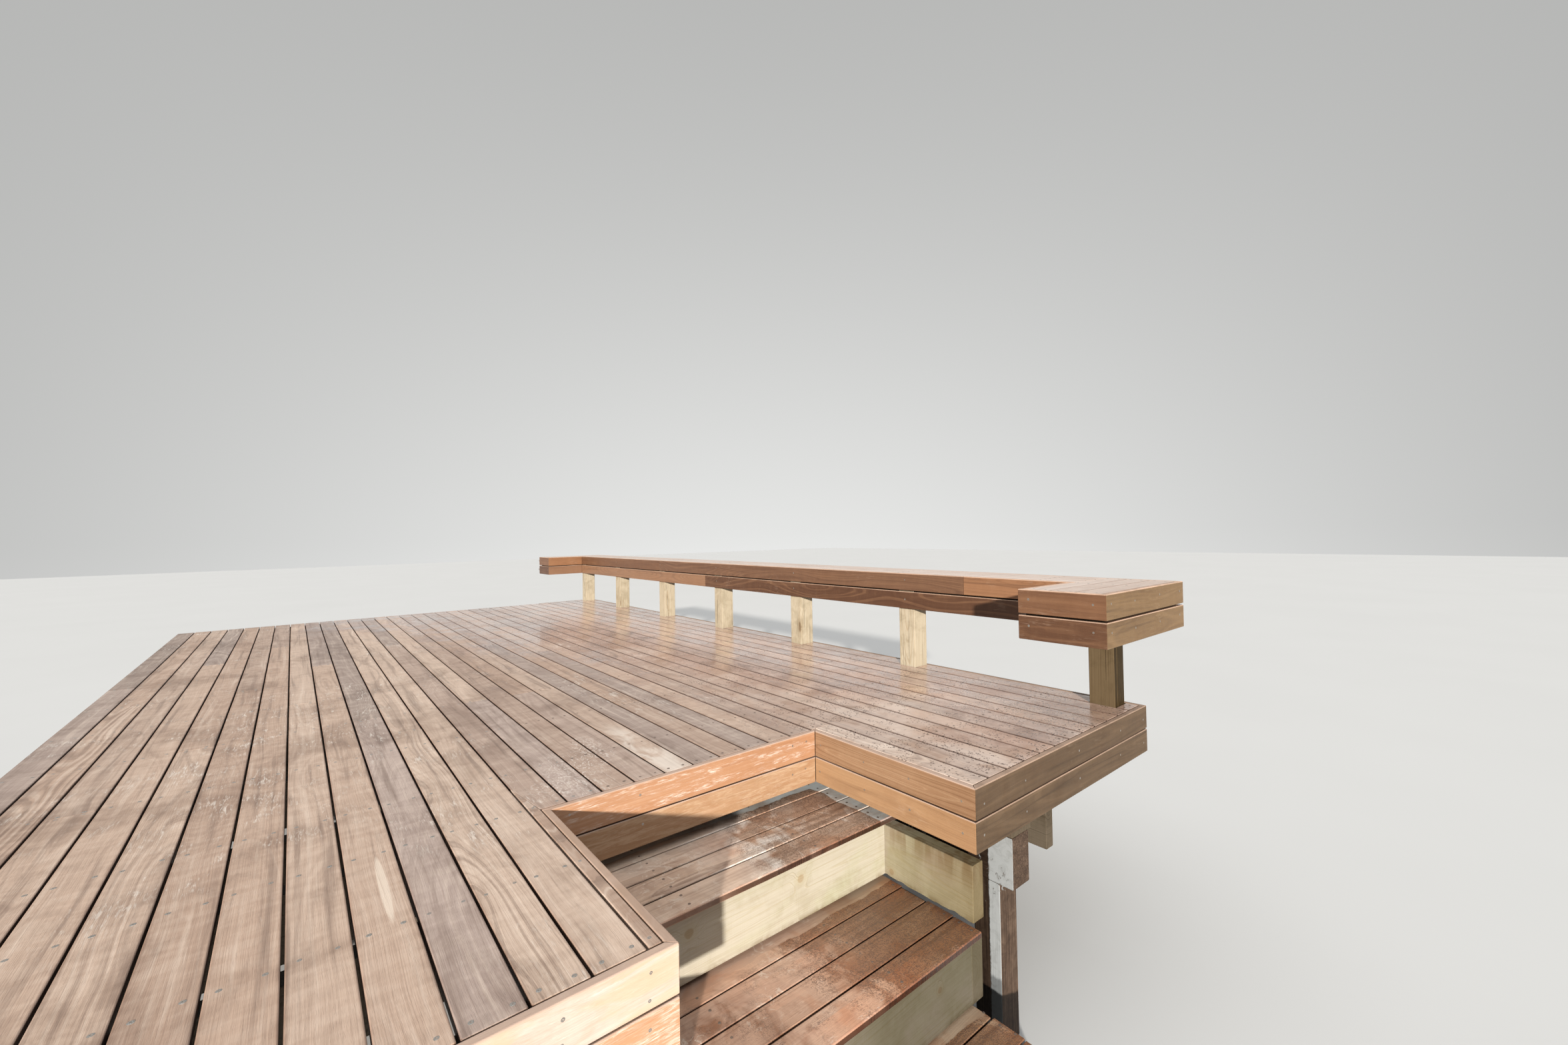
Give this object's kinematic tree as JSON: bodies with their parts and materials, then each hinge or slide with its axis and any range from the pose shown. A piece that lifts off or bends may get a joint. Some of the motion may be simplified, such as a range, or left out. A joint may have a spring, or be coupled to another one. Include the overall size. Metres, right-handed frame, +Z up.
{
  "type": "wooden deck stairs",
  "caption": "Raised timber deck with a flight of open-topped steps recessed into its near edge, two-board fascias, a post-and-bearer subfloor and a low bench rail.",
  "frame": {"origin": "on the ground, under the middle of the footprint", "axes": "+Y along the deck boards, from the stepped edge to the far edge; +X across the boards, from the wall side to the bench rail; +Z up"},
  "size_m": [3.385, 6.044, 1.307],
  "materials": {
    "deck_hardwood": "weathered, satin",
    "edge_hardwood": "oiled, satin",
    "bench_hardwood": "oiled, satin",
    "pine": "rough sawn",
    "post_pine": "planed, matt",
    "frame_pine": "rough sawn",
    "old_paint": "painted, peeling"
  },
  "bodies": {
    "root": {"deck_boards_left": "deck_hardwood", "deck_boards_middle": "deck_hardwood", "deck_boards_right": "deck_hardwood", "treads_upper": "deck_hardwood", "treads_middle": "deck_hardwood", "treads_lower": "deck_hardwood", "fascia_near_left": "edge_hardwood", "fascia_stair_left": "edge_hardwood", "fascia_stair_back": "edge_hardwood", "fascia_stair_right": "edge_hardwood", "fascia_near_right": "edge_hardwood", "fascia_outer": "edge_hardwood", "fascia_far": "edge_hardwood", "bench_seat_long": "bench_hardwood", "bench_seat_returns": "bench_hardwood", "bench_fascia_inner": "bench_hardwood", "bench_fascia_outer": "bench_hardwood", "bench_fascia_near": "bench_hardwood", "bench_fascia_far": "bench_hardwood", "riser_upper": "pine", "riser_middle": "pine", "riser_lower": "pine", "sides_upper": "pine", "sides_middle": "pine", "sides_lower": "pine", "bench_posts": "post_pine", "ledgers": "frame_pine", "joists_long": "frame_pine", "joists_short": "frame_pine", "trimmers": "frame_pine", "rim_joist_outer": "frame_pine", "fascia_packers": "frame_pine", "fascia_cleats": "frame_pine", "step_hangers": "frame_pine", "bearer_left": "frame_pine", "bearer_middle": "frame_pine", "bearer_plate": "frame_pine", "bearer_outer": "frame_pine", "ground_posts": "frame_pine", "outer_posts": "frame_pine", "stringers_upper": "frame_pine", "stringers_middle": "frame_pine", "stringers_lower": "frame_pine", "bench_arms": "frame_pine", "bench_rails": "frame_pine", "bench_return_frames": "frame_pine", "bearer_painted": "old_paint", "painted_posts": "old_paint"}
  },
  "joints": []
}
